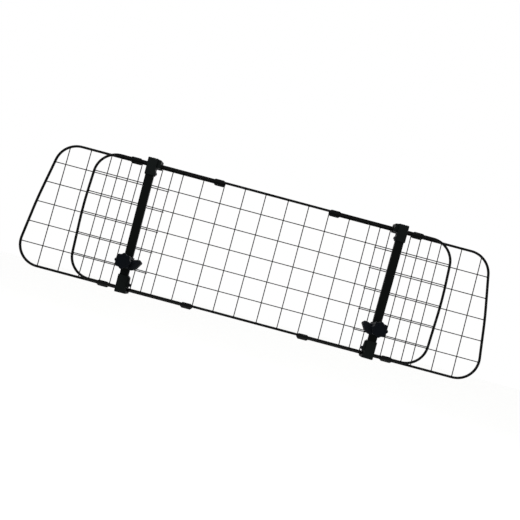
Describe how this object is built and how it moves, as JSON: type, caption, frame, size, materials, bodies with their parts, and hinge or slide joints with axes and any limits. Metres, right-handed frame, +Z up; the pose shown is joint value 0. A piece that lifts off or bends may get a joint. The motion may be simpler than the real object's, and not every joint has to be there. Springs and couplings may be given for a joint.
{
  "type": "car dog guard",
  "caption": "Wire-mesh dog guard for a car: a middle panel with draw-out side panels and two bar brackets whose jaws grip the headrest posts.",
  "frame": {"origin": "centre of the whole guard's bounding box, panels as far out as in the picture", "axes": "+X along the guard to the viewer's right, +Y from the bracket side to the side-panel side, +Z up"},
  "size_m": [1.122, 0.0726, 0.323],
  "materials": {
    "rod_coating": "semi-gloss black powder coat on 6 mm steel rod",
    "wire_coating": "semi-gloss black powder coat on 2.3 mm steel wire",
    "bar_coating": "satin black powder coat on rectangular steel tube",
    "clip_plastic": "fine-grained black moulded nylon",
    "hook_plastic": "fine-grained black moulded nylon",
    "jaw_plastic": "fine-grained black moulded nylon",
    "knob_plastic": "smooth black moulded plastic",
    "black_zinc": "black zinc plate, slightly glossy"
  },
  "bodies": {
    "center_panel": {"center_rim": "rod_coating", "center_mesh": "wire_coating", "left_outer_clip_top": "clip_plastic", "left_outer_clip_bottom": "clip_plastic", "right_outer_clip_top": "clip_plastic", "right_outer_clip_bottom": "clip_plastic"},
    "left_side_panel": {"left_panel_rim": "rod_coating", "left_panel_mesh": "wire_coating", "left_inner_clip_top": "clip_plastic", "left_inner_clip_bottom": "clip_plastic"},
    "right_side_panel": {"right_panel_rim": "rod_coating", "right_panel_mesh": "wire_coating", "right_inner_clip_top": "clip_plastic", "right_inner_clip_bottom": "clip_plastic"},
    "left_bracket": {"left_bar": "bar_coating", "left_top_hook": "hook_plastic", "left_top_screw": "black_zinc"},
    "left_foot": {"left_bottom_hook": "hook_plastic"},
    "left_foot_lock": {"left_thumb_screw": "knob_plastic"},
    "left_carriage": {"left_slider": "jaw_plastic", "left_bolt": "black_zinc"},
    "left_fixed_jaw": {"left_inner_jaw": "jaw_plastic"},
    "left_moving_jaw": {"left_outer_jaw": "jaw_plastic", "left_washer": "black_zinc"},
    "left_hand_knob": {"left_knob": "knob_plastic", "left_knob_nut": "black_zinc"},
    "right_bracket": {"right_bar": "bar_coating", "right_top_hook": "hook_plastic", "right_top_screw": "black_zinc"},
    "right_foot": {"right_bottom_hook": "hook_plastic"},
    "right_foot_lock": {"right_thumb_screw": "knob_plastic"},
    "right_carriage": {"right_slider": "jaw_plastic", "right_bolt": "black_zinc"},
    "right_fixed_jaw": {"right_inner_jaw": "jaw_plastic"},
    "right_moving_jaw": {"right_outer_jaw": "jaw_plastic", "right_washer": "black_zinc"},
    "right_hand_knob": {"right_knob": "knob_plastic", "right_knob_nut": "black_zinc"}
  },
  "joints": [
    {"name": "left_panel_slide", "type": "slide", "parent": "center_panel", "child": "left_side_panel", "axis": [-1, 0, 0], "range_m": [-0.105, 0.09]},
    {"name": "right_panel_slide", "type": "slide", "parent": "center_panel", "child": "right_side_panel", "axis": [1, 0, 0], "range_m": [-0.105, 0.09]},
    {"name": "left_bracket_slide", "type": "slide", "parent": "center_panel", "child": "left_bracket", "axis": [-1, 0, 0], "range_m": [-0.012, 0.012]},
    {"name": "left_foot_slide", "type": "slide", "parent": "left_bracket", "child": "left_foot", "axis": [0.0178, 0, -0.9998], "range_m": [0, 0.016]},
    {"name": "left_foot_lock_turn", "type": "hinge", "parent": "left_foot", "child": "left_foot_lock", "pos_m": [-0.27712, 0.0103, -0.13939], "axis": [0.9998, 0, 0.0178], "range_deg": [0, 540]},
    {"name": "left_height_slide", "type": "slide", "parent": "left_bracket", "child": "left_carriage", "axis": [-0.0178, 0, 0.9998], "range_m": [-0.012, 0.18]},
    {"name": "left_jaw_swivel", "type": "hinge", "parent": "left_carriage", "child": "left_fixed_jaw", "pos_m": [-0.29735, -0.0095, -0.08754], "axis": [0, -1, 0], "range_deg": [-50, 40]},
    {"name": "left_jaw_opening", "type": "slide", "parent": "left_fixed_jaw", "child": "left_moving_jaw", "axis": [0, -1, 0], "range_m": [-0.00375, 0.0025]},
    {"name": "left_knob_turn", "type": "hinge", "parent": "left_moving_jaw", "child": "left_hand_knob", "pos_m": [-0.29735, -0.0095, -0.08754], "axis": [0, -1, 0], "range_deg": [-1090, 728]},
    {"name": "right_bracket_slide", "type": "slide", "parent": "center_panel", "child": "right_bracket", "axis": [1, 0, 0], "range_m": [-0.012, 0.012]},
    {"name": "right_foot_slide", "type": "slide", "parent": "right_bracket", "child": "right_foot", "axis": [-0.0178, 0, -0.9998], "range_m": [0, 0.016]},
    {"name": "right_foot_lock_turn", "type": "hinge", "parent": "right_foot", "child": "right_foot_lock", "pos_m": [0.27712, 0.0103, -0.13939], "axis": [-0.9998, 0, 0.0178], "range_deg": [0, 540]},
    {"name": "right_height_slide", "type": "slide", "parent": "right_bracket", "child": "right_carriage", "axis": [0.0178, 0, 0.9998], "range_m": [-0.012, 0.18]},
    {"name": "right_jaw_swivel", "type": "hinge", "parent": "right_carriage", "child": "right_fixed_jaw", "pos_m": [0.29735, -0.0095, -0.08754], "axis": [0, 1, 0], "range_deg": [-50, 40]},
    {"name": "right_jaw_opening", "type": "slide", "parent": "right_fixed_jaw", "child": "right_moving_jaw", "axis": [0, -1, 0], "range_m": [-0.00375, 0.0025]},
    {"name": "right_knob_turn", "type": "hinge", "parent": "right_moving_jaw", "child": "right_hand_knob", "pos_m": [0.29735, -0.0095, -0.08754], "axis": [0, -1, 0], "range_deg": [-1090, 728]}
  ],
  "couplings": [
    {"joint": "left_knob_turn", "follows": "left_jaw_opening", "rad_per_m": 5026.5},
    {"joint": "right_knob_turn", "follows": "right_jaw_opening", "rad_per_m": 5026.5}
  ]
}
